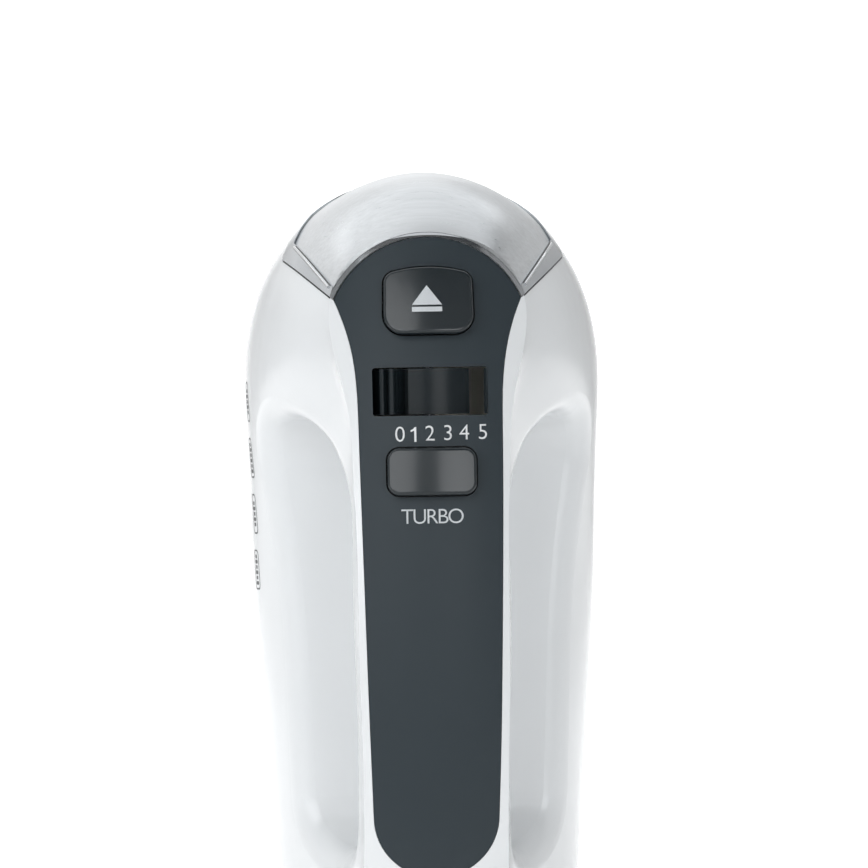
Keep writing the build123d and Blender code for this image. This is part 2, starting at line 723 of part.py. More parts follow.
def drive_gear(side):
    """Helical gear on a spindle. A tooth space faces the worm at mid height."""
    pitch_angle = 2*math.pi/GEAR_TEETH
    slope = math.tan(PRESSURE_ANGLE)
    half = (GEAR_PITCH_R*pitch_angle - BACKLASH)/4
    outline = []
    for tooth in range(GEAR_TEETH):
        middle = (tooth + 0.5)*pitch_angle
        root = (half + (GEAR_PITCH_R - GEAR_ROOT_R)*slope)/GEAR_ROOT_R
        tip = (half - (GEAR_TIP_R - GEAR_PITCH_R)*slope)/GEAR_TIP_R
        for radius, angle in ((GEAR_ROOT_R, -root), (GEAR_TIP_R, -tip), (GEAR_TIP_R, tip), (GEAR_ROOT_R, root)):
            outline.append((radius*math.cos(middle + angle), radius*math.sin(middle + angle)))
    face = make_face(Polyline(*outline, close=True))
    width = GEAR_H[1] - GEAR_H[0]
    lead_angle = math.atan(worm_lead()/(2*math.pi*WORM_PITCH_R))
    twist = math.degrees(width*math.tan(lead_angle)/GEAR_PITCH_R)
    sections = []
    for part in (0, 1/3, 2/3, 1):
        middle = level(GEAR_H[0] + part*width) * Pos(side*GEAR_X, GEAR_Z)
        sections.append(middle * Rot(0, 0, (part - 0.5)*twist) * face)
    gear = loft(sections, ruled=True)
    gear += bar_h(9, (GEAR_H[0] - 4, GEAR_H[0]), side*GEAR_X, GEAR_Z)
    return gear - bar_h(SPINDLE_R, (20, 45), side*GEAR_X, GEAR_Z)


def spindle(side):
    low, high = SPINDLE_HEIGHTS
    tube = bar_h(SPINDLE_R, (low, high), side*GEAR_X, GEAR_Z)
    tube -= bar_h(SPINDLE_BORE_R, (low - 1, high + 1), side*GEAR_X, GEAR_Z)
    slot_h = (low - 1, 5.2)
    for w, d in ((2.6, 12), (12, 2.6)):
        tube -= prism_h(Rectangle(w, d), slot_h, side*GEAR_X, GEAR_Z)
    return tube


def spindle_bushes():
    bushes = []
    for side in (-1, 1):
        for hs in ((5.5, 11.5), (43.5, 49.5)):
            ring = bar_h(BUSH_R, hs, side*GEAR_X, GEAR_Z)
            bushes.append(ring - bar_h(SPINDLE_R + RUNNING_GAP, hs, side*GEAR_X, GEAR_Z))
    return Compound(bushes)


def gear_case(inner):
    """Lower bearing plate with the wall and post that carry the cover and the worm's end."""
    case = block((-45, 45), (5.5, 9.5), (128, 171))
    case += block((-45, 45), (5.5, 45), (128, 131))
    case += block((-7, 7), (5.5, 45), (171, 177))
    case = case & inner
    case -= bar_z(7, (127, 132))
    case -= bar_z(5, (170, 176))
    for side in (-1, 1):
        case -= bar_h(BUSH_R, (5, 12), side*GEAR_X, GEAR_Z)
    return case


def worm_bush():
    return tube_z(5, 2.5 + RUNNING_GAP, (171, 176))


def gear_cover(inner):
    cover = block((-45, 45), (45, 48.5), (128, 177)) & inner
    for side in (-1, 1):
        cover -= bar_h(BUSH_R, (43, 50), side*GEAR_X, GEAR_Z)
    for x, z in cover_screw_places():
        cover -= bar_h(1.7, (40, 50), x, z)
    return cover


def cover_screw_places():
    return [(-30, 129.5), (30, 129.5), (0, 174)]


def cover_screws():
    screws = []
    for x, z in cover_screw_places():
        screws.append(bar_h(2.8, (48.5, 50.3), x, z) + bar_h(1.4, (45, 48.5), x, z))
    return Compound(screws)


# ---------------------------------------------------------------- electrics in the handle

def control_board():
    board = prism_h(RectangleRounded(24, 32, 2), (106, 107.6), 0, 74)
    board -= bar_h(1.6, (105, 109), 0, 61.5)
    return board


def board_parts():
    capacitor = block((-8, 2), (107.6, 115.6), (76, 86))
    choke = bar_x(4, (-7, 7), 111.6, 69.5)
    triac = block((5, 9.5), (107.6, 117), (76, 86)) - bar_x(1.6, (4, 11), 114, 81)
    return Compound([fillet(capacitor.edges(), 0.8), choke, triac])


def terminal_block():
    """Screw terminals where the mains leads end."""
    body = block((-7, 7), (106, 113), (46, 54))
    for x in (-3.5, 3.5):
        body -= bar_h(1.9, (109, 114), x, 50)
        body -= bar_z(1.2, (45, 55), x, 107.8)
    return body


# ---------------------------------------------------------------- beaters

def beater_shaft(side):
    shaft = bar_h(BEATER_SHAFT_R, (-52, BEATER_TIP_H), side*GEAR_X, GEAR_Z)
    shaft = fillet(shaft.edges().sort_by(Axis.Y)[0], 1.2)
    for w, d in ((2.2, 10.2), (10.2, 2.2)):
        shaft += prism_h(Rectangle(w, d), (2.0, 4.8), side*GEAR_X, GEAR_Z)
    return shaft


def beater_collar(side):
    ring = bar_h(7.4, (-9, -3), side*GEAR_X, GEAR_Z)
    ring = fillet(ring.edges(), 1.2)
    return ring - bar_h(BEATER_SHAFT_R, (-10, 0), side*GEAR_X, GEAR_Z)


def beater_ferrule(side):
    ring = bar_h(5.4, (-62, -48), side*GEAR_X, GEAR_Z)
    ring = fillet(ring.edges(), 1.5)
    return ring - bar_h(BEATER_SHAFT_R, (-52, -40), side*GEAR_X, GEAR_Z)


def beater_wires(side):
    """Two bows of wire that cross at the bottom. The right pair is turned by half a step."""
    turn = 0 if side < 0 else 45
    bows = []
    for drop, angle in ((0.0, turn), (-2*WIRE_R - 0.1, turn + 90)):
        low = BEATER_END_H + WIRE_R - drop
        half = [(2.9, -62), (2.9, -67), (BEATER_R, -91), (BEATER_R, low)]
        points = half + [(-x, h) for x, h in reversed(half)]
        line = FilletPolyline(*points, radius=[12, 26, 23.5, 23.5, 26, 12])
        profile = Plane(line @ 0, z_dir=line % 0) * Circle(WIRE_R)
        bow = sweep(profile, path=line)
        upright = Plane((side*GEAR_X, UNDERSIDE_Y, GEAR_Z), x_dir=(1, 0, 0), z_dir=(0, 0, -1))
        bows.append(upright * (Rot(0, angle, 0) * bow))
    return Compound(bows)


# ---------------------------------------------------------------- assembly

def build():
    body = outer_body()
    shell = housing_shell(body)
    inner = round_underside(form(WALL + 0.5), WALL + 0.5)
    nodes = {
        "housing_left": housing_half(shell, -1),
        "housing_right": housing_half(shell, 1),
        "housing_screws": housing_screws(),
        "control_panel": control_panel(),
        "nose_bezel": nose_bezel(),
        "nose_plate": nose_plate(),
        "socket_rings": socket_rings(),
        "heel_pads": heel_pads(),
        "cord_gland": cord_gland(),
        "eject_button": eject_button(),
        "ejector_frame": ejector_frame(),
        "ejector_guide": ejector_guide(inner),
        "eject_spring": eject_spring(),
        "turbo_button": turbo_button(),
        "turbo_switch": turbo_switch(),
        "turbo_spring": turbo_spring(),
        "speed_dial": speed_dial(),
        "dial_pin": dial_pin(),
        "dial_bracket": dial_bracket(inner),
        "speed_switch": speed_switch(),
        "control_board": control_board(),
        "board_parts": board_parts(),
        "terminal_block": terminal_block(),
        "motor_stator": motor_stator(),
        "field_coils": field_coils(),
        "motor_bracket_rear": motor_bracket_rear(),
        "motor_bracket_front": motor_bracket_front(),
        "motor_bearing_rear": bush((36, 43), SHAFT_R),
        "motor_bearing_front": bush((108, 115.5), SHAFT_R),
        "motor_screws": motor_screws(),
        "motor_cradle": motor_cradle(inner),
        "armature_core": armature_core(),
        "armature_windings": armature_windings(),
        "commutator": commutator(),
        "cooling_fan": cooling_fan(),
        "brush_holders": brush_holders(),
        "carbon_brushes": carbon_brushes(),
        "brush_springs": brush_springs(),
        "worm_shaft": worm_shaft(),
        "worm_bush": worm_bush(),
        "gear_case": gear_case(inner),
        "gear_cover": gear_cover(inner),
        "cover_screws": cover_screws(),
        "spindle_bushes": spindle_bushes(),
    }
    for name, side in (("left", -1), ("right", 1)):
        nodes[f"drive_gear_{name}"] = drive_gear(side)
        nodes[f"spindle_{name}"] = spindle(side)
        nodes[f"beater_shaft_{name}"] = beater_shaft(side)
        nodes[f"beater_collar_{name}"] = beater_collar(side)
        nodes[f"beater_ferrule_{name}"] = beater_ferrule(side)
        nodes[f"beater_wires_{name}"] = beater_wires(side)
    return nodes


os.makedirs("parts", exist_ok=True)
for node, shape in build().items():
    export_step(shape, f"parts/{node}.step")
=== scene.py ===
import json
import math

import bmesh
import bpy
from mathutils import Matrix, Vector


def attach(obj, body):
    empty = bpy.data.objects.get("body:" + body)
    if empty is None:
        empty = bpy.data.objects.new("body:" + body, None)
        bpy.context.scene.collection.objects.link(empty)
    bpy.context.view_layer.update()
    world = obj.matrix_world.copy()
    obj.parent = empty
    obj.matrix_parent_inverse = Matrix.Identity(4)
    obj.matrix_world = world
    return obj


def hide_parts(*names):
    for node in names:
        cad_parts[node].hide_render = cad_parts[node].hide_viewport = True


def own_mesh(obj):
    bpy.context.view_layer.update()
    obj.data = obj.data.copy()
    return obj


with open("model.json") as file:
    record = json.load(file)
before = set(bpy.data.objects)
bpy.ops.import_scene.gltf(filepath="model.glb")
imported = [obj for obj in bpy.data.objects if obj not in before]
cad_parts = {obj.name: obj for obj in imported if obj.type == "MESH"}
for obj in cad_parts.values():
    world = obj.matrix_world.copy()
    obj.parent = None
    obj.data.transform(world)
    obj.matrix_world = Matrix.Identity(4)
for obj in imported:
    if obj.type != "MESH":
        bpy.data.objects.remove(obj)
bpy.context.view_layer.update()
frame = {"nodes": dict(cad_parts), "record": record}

NODES = frame["nodes"]
MM = 0.001

# Heights are measured up from the mixer's underside, as in use. The underside is this row plane.
UNDERSIDE_Y = 0.046


def place(x, h, z):
    """Row point of a place given in mm as x, height above the underside and z."""
    return Vector((x*MM, UNDERSIDE_Y - h*MM, z*MM))


# ------------------------------------------------------------------ node helpers

def new_material(name):
    material = bpy.data.materials.new(name)
    material.use_nodes = True
    return material, material.node_tree, material.node_tree.nodes["Principled BSDF"]


def add(tree, kind, **values):
    node = tree.nodes.new(kind)
    for key, value in values.items():
        setattr(node, key, value)
    return node


def object_coords(tree, scale=(1, 1, 1)):
    """Place on the object in metres, stretched by scale along each axis."""
    coords = add(tree, "ShaderNodeTexCoord")
    mapping = add(tree, "ShaderNodeMapping")
    mapping.inputs["Scale"].default_value = scale
    tree.links.new(coords.outputs["Object"], mapping.inputs["Vector"])
    return mapping.outputs["Vector"]


def noise(tree, vector, scale, detail=2.0, roughness=0.5):
    """Noise value at a place, with scale in cells per metre."""
    node = add(tree, "ShaderNodeTexNoise")
    node.inputs["Scale"].default_value = scale
    node.inputs["Detail"].default_value = detail
    node.inputs["Roughness"].default_value = roughness
    tree.links.new(vector, node.inputs["Vector"])
    return node.outputs["Fac"]


def ramp(tree, factor, low, high, start=0.3, end=0.7):
    """Blend between two colours as factor runs from start to end."""
    node = add(tree, "ShaderNodeValToRGB")
    first, last = node.color_ramp.elements
    first.position, last.position = start, end
    first.color = (*low, 1)
    last.color = (*high, 1)
    tree.links.new(factor, node.inputs["Fac"])
    return node.outputs["Color"]


def spread(tree, factor, low, high, start=0.3, end=0.7):
    """Map factor to a range of plain values."""
    node = add(tree, "ShaderNodeMapRange")
    for key, value in (("From Min", start), ("From Max", end), ("To Min", low), ("To Max", high)):
        node.inputs[key].default_value = value
    tree.links.new(factor, node.inputs["Value"])
    return node.outputs["Result"]


def bump(tree, shader, height, strength, distance):
    """Surface relief, with distance in metres."""
    node = add(tree, "ShaderNodeBump")
    node.inputs["Strength"].default_value = strength
    node.inputs["Distance"].default_value = distance
    tree.links.new(height, node.inputs["Height"])
    tree.links.new(node.outputs["Normal"], shader.inputs["Normal"])


# ------------------------------------------------------------------ materials

CLOUD_SCALE = 38                    # noise cells per metre in plastic's colour and gloss
CLOUD_START, CLOUD_END = 0.1, 0.9   # noise values that colour and gloss run between
GRAIN_STRENGTH = 0.35
COAT_ROUGHNESS = 0.12
BRUSH_LINES = (6, 900, 900)         # cells per metre along x, y and z of fine brush marks
BROAD_LINES = (14, 120, 120)        # and of broad ones
FINE_SHARE, BROAD_SHARE = 0.7, 0.3
SMEAR_SCALE = 60
SCRATCH_STRETCH = (1, 1, 7)
SHEET_SCALE = 320                   # wave scale that puts a stack's sheets about 1 mm apart
WIRE_SCALE = 380                    # and a winding's turns about 0.8 mm apart
INK_SPECKLE = 5200


def moulded_plastic(name, colour, shade, roughness, grain, grain_depth, coat=0.0, specular=0.5):
    """Moulded plastic: faint cloudiness in colour and gloss over a fine surface grain."""
    material, tree, shader = new_material(name)
    vector = object_coords(tree)
    cloud = noise(tree, vector, CLOUD_SCALE, 3)
    dark = tuple(c*shade for c in colour)
    tint = ramp(tree, cloud, dark, colour, CLOUD_START, CLOUD_END)
    tree.links.new(tint, shader.inputs["Base Color"])
    fine = noise(tree, vector, grain, 2)
    gloss = spread(tree, cloud, roughness*0.92, roughness*1.08, CLOUD_START, CLOUD_END)
    tree.links.new(gloss, shader.inputs["Roughness"])
    bump(tree, shader, fine, GRAIN_STRENGTH, grain_depth)
    shader.inputs["Specular IOR Level"].default_value = specular
    shader.inputs["Coat Weight"].default_value = coat
    shader.inputs["Coat Roughness"].default_value = COAT_ROUGHNESS
    return material


def brushed_steel(name, colour):
    """Steel brushed across the mixer, as long fine streaks in colour, gloss and relief."""
    material, tree, shader = new_material(name)
    streaks = noise(tree, object_coords(tree, BRUSH_LINES), 1.0, 4, 0.65)
    broad = noise(tree, object_coords(tree, BROAD_LINES), 1.0, 2)
    dark = tuple(c*0.84 for c in colour)
    mix = add(tree, "ShaderNodeMath", operation="MULTIPLY_ADD")
    mix.inputs[1].default_value = FINE_SHARE
    tree.links.new(streaks, mix.inputs[0])
    weigh = spread(tree, broad, 0.0, BROAD_SHARE, 0, 1)
    tree.links.new(weigh, mix.inputs[2])
    tint = ramp(tree, mix.outputs[0], dark, colour, 0.35, 0.65)
    tree.links.new(tint, shader.inputs["Base Color"])
    tree.links.new(spread(tree, streaks, 0.26, 0.42), shader.inputs["Roughness"])
    shader.inputs["Metallic"].default_value = 1.0
    bump(tree, shader, streaks, 0.18, 0.00002)
    return material


def plain_metal(name, colour, roughness, scratch_scale=420, shade=0.9):
    """Turned, plated or polished metal with faint smears and fine scratches."""
    material, tree, shader = new_material(name)
    smear = noise(tree, object_coords(tree), SMEAR_SCALE, 3)
    scratch = noise(tree, object_coords(tree, SCRATCH_STRETCH), scratch_scale, 3)
    dark = tuple(c*shade for c in colour)
    tree.links.new(ramp(tree, smear, dark, colour), shader.inputs["Base Color"])
    tree.links.new(spread(tree, scratch, roughness*0.7, roughness*1.3), shader.inputs["Roughness"])
    shader.inputs["Metallic"].default_value = 1.0
    bump(tree, shader, scratch, 0.1, 0.000008)
    return material


def laminations(name):
    """Edge of a stack of thin steel sheets."""
    material, tree, shader = new_material(name)
    wave = add(tree, "ShaderNodeTexWave", bands_direction="Z")
    wave.inputs["Scale"].default_value = SHEET_SCALE
    wave.inputs["Distortion"].default_value = 0.3
    tree.links.new(object_coords(tree), wave.inputs["Vector"])
    colour = ramp(tree, wave.outputs["Fac"], (0.08, 0.08, 0.09), (0.3, 0.3, 0.31), 0.2, 0.8)
    tree.links.new(colour, shader.inputs["Base Color"])
    shader.inputs["Metallic"].default_value = 0.85
    shader.inputs["Roughness"].default_value = 0.45
    bump(tree, shader, wave.outputs["Fac"], 0.4, 0.0001)
    return material


def wound_wire(name, colour):
    """Enamelled copper wire wound in close turns."""
    material, tree, shader = new_material(name)
    wave = add(tree, "ShaderNodeTexWave", bands_direction="DIAGONAL")
    wave.inputs["Scale"].default_value = WIRE_SCALE
    wave.inputs["Distortion"].default_value = 1.5
    tree.links.new(object_coords(tree), wave.inputs["Vector"])
    dark = tuple(c*0.4 for c in colour)
    tint = ramp(tree, wave.outputs["Fac"], dark, colour, 0.1, 0.7)
    tree.links.new(tint, shader.inputs["Base Color"])
    shader.inputs["Metallic"].default_value = 0.9
    shader.inputs["Roughness"].default_value = 0.3
    bump(tree, shader, wave.outputs["Fac"], 0.6, 0.0002)
    return material


def print_ink(name, colour, roughness=0.4):
    """Printed ink, with a faint speckle."""
    material, tree, shader = new_material(name)
    speckle = noise(tree, object_coords(tree), INK_SPECKLE, 2)
    dark = tuple(c*0.86 for c in colour)
    tree.links.new(ramp(tree, speckle, dark, colour), shader.inputs["Base Color"])
    shader.inputs["Roughness"].default_value = roughness
    return material


WHITE = (0.86, 0.875, 0.885)
DARK_GREY = (0.030, 0.041, 0.049)
BLACK = (0.012, 0.018, 0.022)
BOARD_GREEN = (0.03, 0.20, 0.09)
SOFT_BLACK = (0.03, 0.03, 0.033)

MATERIALS = {
    "white_casing": moulded_plastic("white_casing", WHITE, 0.985, 0.2, 900, 0.000006, 0.2),
    "grey_panel": moulded_plastic("grey_panel", DARK_GREY, 0.93, 0.48, 5200, 0.00003, 0, 0.3),
    "black_gloss": moulded_plastic("black_gloss", BLACK, 0.9, 0.24, 1500, 0.000004, 0.3),
    "chrome": plain_metal("chrome", (0.80, 0.81, 0.82), 0.07),
    "brushed_steel": brushed_steel("brushed_steel", (0.84, 0.86, 0.875)),
    "steel": plain_metal("steel", (0.56, 0.57, 0.59), 0.25),
    "screw_steel": plain_metal("screw_steel", (0.52, 0.52, 0.54), 0.3),
    "silicon_steel": laminations("silicon_steel"),
    "copper": wound_wire("copper", (0.72, 0.33, 0.14)),
    "commutator_copper": plain_metal("commutator_copper", (0.80, 0.45, 0.25), 0.3),
    "sintered_bronze": plain_metal("sintered_bronze", (0.50, 0.38, 0.20), 0.5, 2200, 0.7),
    "brass": plain_metal("brass", (0.78, 0.62, 0.30), 0.28),
    "carbon": moulded_plastic("carbon", (0.03, 0.03, 0.032), 0.7, 0.6, 3000, 0.00005),
    "cast_alloy": plain_metal("cast_alloy", (0.60, 0.61, 0.62), 0.5, 1500, 0.8),
    "nylon": moulded_plastic("nylon", (0.80, 0.78, 0.70), 0.95, 0.4, 1800, 0.00002),
    "grey_nylon": moulded_plastic("grey_nylon", (0.16, 0.17, 0.18), 0.92, 0.42, 1800, 0.00002),
    "board_green": moulded_plastic("board_green", BOARD_GREEN, 0.85, 0.3, 1200, 0.00001),
    "component_black": moulded_plastic("component_black", SOFT_BLACK, 0.85, 0.4, 1800, 0.00002),
    "rubber": moulded_plastic("rubber", (0.03, 0.03, 0.032), 0.85, 0.7, 2400, 0.00004),
}

# Nodes that are duller or darker than the rest of their slot. The nose bezel's darker chrome is
# painted shade.
SATIN_BLACK = (0.011, 0.016, 0.019)
PAINTED_SHADE_CHROME = (0.62, 0.64, 0.66)
OWN_FINISH = {
    "speed_dial": moulded_plastic("satin_black", SATIN_BLACK, 0.9, 0.26, 1500, 0.000004, 0, 0.22),
    # The bezel's chrome is darkened as painted shade, for the darker reflections it shows.
    "nose_bezel": plain_metal("painted_shade_chrome", PAINTED_SHADE_CHROME, 0.09),
}


def paint_nodes():
    """Give every CAD node its slot's material, or its own finish."""
    slots = {part["node"]: part["material_slot"] for part in frame["record"]["subparts"]}
    for name, node in NODES.items():
        node.data.materials.clear()
        node.data.materials.append(OWN_FINISH.get(name, MATERIALS[slots[name]]))


# ------------------------------------------------------------------ printed marks

INK_LIFT = 0.03                     # mm that ink stands off the face below it
INK_SKIN = 0.9                      # share of that which the film fills
MARK_CELL = 0.45                    # mm between the cuts that let a mark bend
STROKE_THINNING = 0.006             # share of its size that lettering loses at each edge
OVER_CROWN = 160                    # mm above the underside, clear of the whole crown
INTO_CROWN = Vector((0, 1, 0))
OFF_LEFT_WALL = -80                 # mm across, clear of the left wall
INTO_LEFT_WALL = Vector((1, 0, 0))


def flat_mesh(curve):
    """Mesh of a filled curve or text, cut into small cells so that it can follow a curved face."""
    bpy.context.scene.collection.objects.link(curve)
    bpy.context.view_layer.update()
    graph = bpy.context.evaluated_depsgraph_get()
    mesh = bpy.data.meshes.new_from_object(curve.evaluated_get(graph))
    bpy.data.objects.remove(curve)
    form = bmesh.new()
    form.from_mesh(mesh)
    bpy.data.meshes.remove(mesh)
    for axis, normal in enumerate((Vector((1, 0, 0)), Vector((0, 1, 0)))):
        values = [v.co[axis] for v in form.verts]
        cell = math.ceil(min(values)/MARK_CELL)*MARK_CELL
        while cell < max(values):
            everything = form.verts[:] + form.edges[:] + form.faces[:]
            bmesh.ops.bisect_plane(form, geom=everything, plane_co=normal*cell, plane_no=normal)
            cell += MARK_CELL
    return form


def print_on(form, name, to_row, towards, node, body, material):
    """Lay a flat mark on the first face of a node that it meets, as a thin film of ink."""
    for vertex in form.verts:
        found, point, _, _ = NODES[node].ray_cast(to_row(vertex.co), towards)
        if not found:
            raise ValueError(f"{name} misses {node}")
        vertex.co = point - towards*INK_LIFT*MM
    film = bmesh.ops.extrude_face_region(form, geom=form.faces[:])
    for item in film["geom"]:
        if isinstance(item, bmesh.types.BMVert):
            item.co += towards*INK_LIFT*INK_SKIN*MM
    bmesh.ops.recalc_face_normals(form, faces=form.faces[:])
    mesh = bpy.data.meshes.new(name)
    form.to_mesh(mesh)
    form.free()
    mark = bpy.data.objects.new(name, mesh)
    bpy.context.scene.collection.objects.link(mark)
    mesh.materials.append(material)
    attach(mark, body)


def text_curve(text, size, squeeze=1.0):
    """Lettering about its own middle, slightly thinned."""
    curve = bpy.data.curves.new("text", "FONT")
    curve.body = text
    curve.size = size
    curve.offset = -STROKE_THINNING*size
    curve.align_x = "CENTER"
    curve.align_y = "CENTER"
    curve.resolution_u = 6
    curve.space_character = squeeze
    return bpy.data.objects.new("text", curve)


def shape_curve(loops):
    """Filled flat shape from closed polygons. A loop inside another cuts a hole."""
    curve = bpy.data.curves.new("shape", "CURVE")
    curve.dimensions = "2D"
    curve.fill_mode = "BOTH"
    for loop in loops:
        spline = curve.splines.new("POLY")
        spline.points.add(len(loop) - 1)
        for point, (x, y) in zip(spline.points, loop):
            point.co = (x, y, 0, 1)
        spline.use_cyclic_u = True
    return bpy.data.objects.new("shape", curve)


def rounded_loop(width, height, radius, centre=(0, 0), steps=6):
    """Outline of a rectangle with round corners."""
    loop = []
    for quarter, (sx, sy) in enumerate(((1, 1), (-1, 1), (-1, -1), (1, -1))):
        for step in range(steps + 1):
            angle = math.radians(90*(quarter + step/steps))
            x = centre[0] + sx*(width/2 - radius) + radius*math.cos(angle)
            y = centre[1] + sy*(height/2 - radius) + radius*math.sin(angle)
            loop.append((x, y))
    return loop


def above(x, z):
    """Drawing plane over the crown: mm across and along the mixer to a row point above it."""
    return lambda co: place(x + co.x, OVER_CROWN, z + co.y)


def figure_one():
    """A 1 with a flag, which the built-in lettering lacks."""
    return shape_curve([[(-0.1, -1.75), (0.42, -1.75), (0.42, 1.8), (0.02, 1.8), (-0.35, 1.35),
                         (-0.95, 1.05), (-0.95, 0.6), (-0.1, 0.95)]])


FIGURE_X = (-7.5, -4.0, -0.3, 4.05, 8.0, 12.5)
FIGURE_SIZE, FIGURE_Z, FIGURE_RISE = 5.3, 129.3, 0.017
TURBO_SIZE, TURBO_SQUEEZE, TURBO_Z = 5.1, 0.85, 109.4
SYMBOL_PLACE = (-0.4, 160.5)
SYMBOL_HALF, SYMBOL_RISE, SYMBOL_GAP, SYMBOL_BAR = 3.65, 4.75, 0.5, 1.15


def speed_figures(ink):
    """Figures 0 to 5 below the dial, in a row that rises a little to the right."""
    for figure, x in enumerate(FIGURE_X):
        curve = figure_one() if figure == 1 else text_curve(str(figure), FIGURE_SIZE)
        print_on(flat_mesh(curve), f"speed_figure_{figure}", above(x, FIGURE_Z + FIGURE_RISE*x),
                 INTO_CROWN, "control_panel", "housing", ink)


def turbo_word(ink):
    """Function word below the turbo key."""
    form = flat_mesh(text_curve("TURBO", TURBO_SIZE, TURBO_SQUEEZE))
    print_on(form, "turbo_word", above(0, TURBO_Z), INTO_CROWN, "control_panel", "housing",
             ink)


def eject_symbol(ink):
    """Triangle over a bar on the eject key."""
    half, top = SYMBOL_HALF, -SYMBOL_GAP
    triangle = [(-half, 0), (half, 0), (0, SYMBOL_RISE)]
    bar = [(-half, top - SYMBOL_BAR), (half, top - SYMBOL_BAR), (half, top), (-half, top)]
    form = flat_mesh(shape_curve([triangle, bar]))
    print_on(form, "eject_symbol", above(*SYMBOL_PLACE), INTO_CROWN, "eject_button", "ejector",
             ink)


MARK_LENGTH, MARK_HEIGHT, MARK_LINE = 10.2, 5.2, 0.42
MARK_CORNER, MARK_INNER_CORNER = 1.5, 1.1
MARK_HEIGHTS = (58.0, 55.6, 53.6, 51.6)     # above the underside, from the nose end down
MARK_FIRST_Z, MARK_PITCH = 138.2, 14.25
BAR_WIDTH, BAR_PITCH, BAR_CORNER = 0.95, 1.35, 0.35
TALL_BAR, LOW_BAR = 2.8, 2.0


def side_marks(ink):
    """Four outlined marks in a row on the left wall, each holding a row of plain bars."""
    outer = rounded_loop(MARK_LENGTH, MARK_HEIGHT, MARK_CORNER)
    inner = rounded_loop(MARK_LENGTH - 2*MARK_LINE, MARK_HEIGHT - 2*MARK_LINE, MARK_INNER_CORNER)
    for mark, base_h in enumerate(MARK_HEIGHTS):
        loops = [outer, inner]
        bars = 5 + mark % 2
        for bar in range(bars):
            x = (bar - (bars - 1)/2)*BAR_PITCH
            tall = TALL_BAR if (bar + mark) % 2 else LOW_BAR
            loops.append(rounded_loop(BAR_WIDTH, tall, BAR_CORNER, (x, 0), 3))
        z = MARK_FIRST_Z - MARK_PITCH*mark

        def to_row(co, base_h=base_h, z=z):
            return place(OFF_LEFT_WALL, base_h + co.y, z + co.x)

        print_on(flat_mesh(shape_curve(loops)), f"side_mark_{mark + 1}", to_row, INTO_LEFT_WALL,
                 "housing_left", "housing", ink)


# ------------------------------------------------------------------ trim

# Ends of the nose plate's and the bezel's side edges, mm as x and z, inner end first.
PLATE_EDGE = ((22.9, 165.3), (31.9, 177.2))
BEZEL_EDGE = ((22.9, 162.3), (35.3, 173.6))
# Name, edge, mm outside the edge, radius and slot of each line, and the node it lies on.
EDGE_LINES = (("plate_bead", PLATE_EDGE, 0.72, 0.46, "chrome", "nose_bezel"),
              # The two dark lines are painted shade: thin black films that stand in for the shade
              # in the joints beside the plate and the bezel.
              ("plate_painted_shade_line", PLATE_EDGE, 0.16, 0.12, "component_black", "nose_bezel"),
              ("bezel_painted_shade_line", BEZEL_EDGE, 0.16, 0.2, "component_black", "housing"))
EDGE_POINTS = 25
EDGE_MARGIN = 0.05                  # share of an edge left bare at each end

# The dial's slot, and the cheek's section below its top edge, mm as x and depth.
SLOT_Z, SLOT_RIGHT = 139.6, 14.4
CHEEK_HALF_LENGTH, CHEEK_SUNK, CHEEK_EDGE = 5.5, 0.35, 0.12
CHEEK_SECTION = ((13.15, 3.0), (13.82, 3.0), (13.82, 0), (13.62, 0))


def surface_point(node, x, z):
    """Row point on a node straight below a place over the crown."""
    found, point, _, _ = NODES[node].ray_cast(place(x, OVER_CROWN, z), INTO_CROWN)
    if not found:
        raise ValueError(f"nothing of {node} below {x}, {z}")
    return point


def bead(name, points, radius, slot):
    """Rounded bead on the casing along a line of row points."""
    curve = bpy.data.curves.new(name, "CURVE")
    curve.dimensions = "3D"
    curve.bevel_depth = radius*MM
    curve.bevel_resolution = 4
    curve.use_fill_caps = True
    spline = curve.splines.new("POLY")
    spline.points.add(len(points) - 1)
    for knot, point in zip(spline.points, points):
        knot.co = (*point, 1)
    piece = bpy.data.objects.new(name, curve)
    bpy.context.scene.collection.objects.link(piece)
    curve.materials.append(MATERIALS[slot])
    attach(piece, "housing")


def nose_edge_lines():
    """Polished bead, and dark lines of painted shade at the joints, along the side edges of the
    nose plate and the bezel.
    """
    for name, ((x0, z0), (x1, z1)), offset, radius, slot, node in EDGE_LINES:
        run = math.hypot(x1 - x0, z1 - z0)
        out_x, out_z = (z1 - z0)/run, -(x1 - x0)/run
        for side, word in ((-1, "left"), (1, "right")):
            target = f"housing_{word}" if node == "housing" else node
            points = []
            for step in range(EDGE_POINTS):
                share = EDGE_MARGIN + (1 - 2*EDGE_MARGIN)*step/(EDGE_POINTS - 1)
                x = side*(x0 + share*(x1 - x0) + offset*out_x)
                z = z0 + share*(z1 - z0) + offset*out_z
                points.append(surface_point(target, x, z))
            bead(f"{name}_{word}", points, radius, slot)


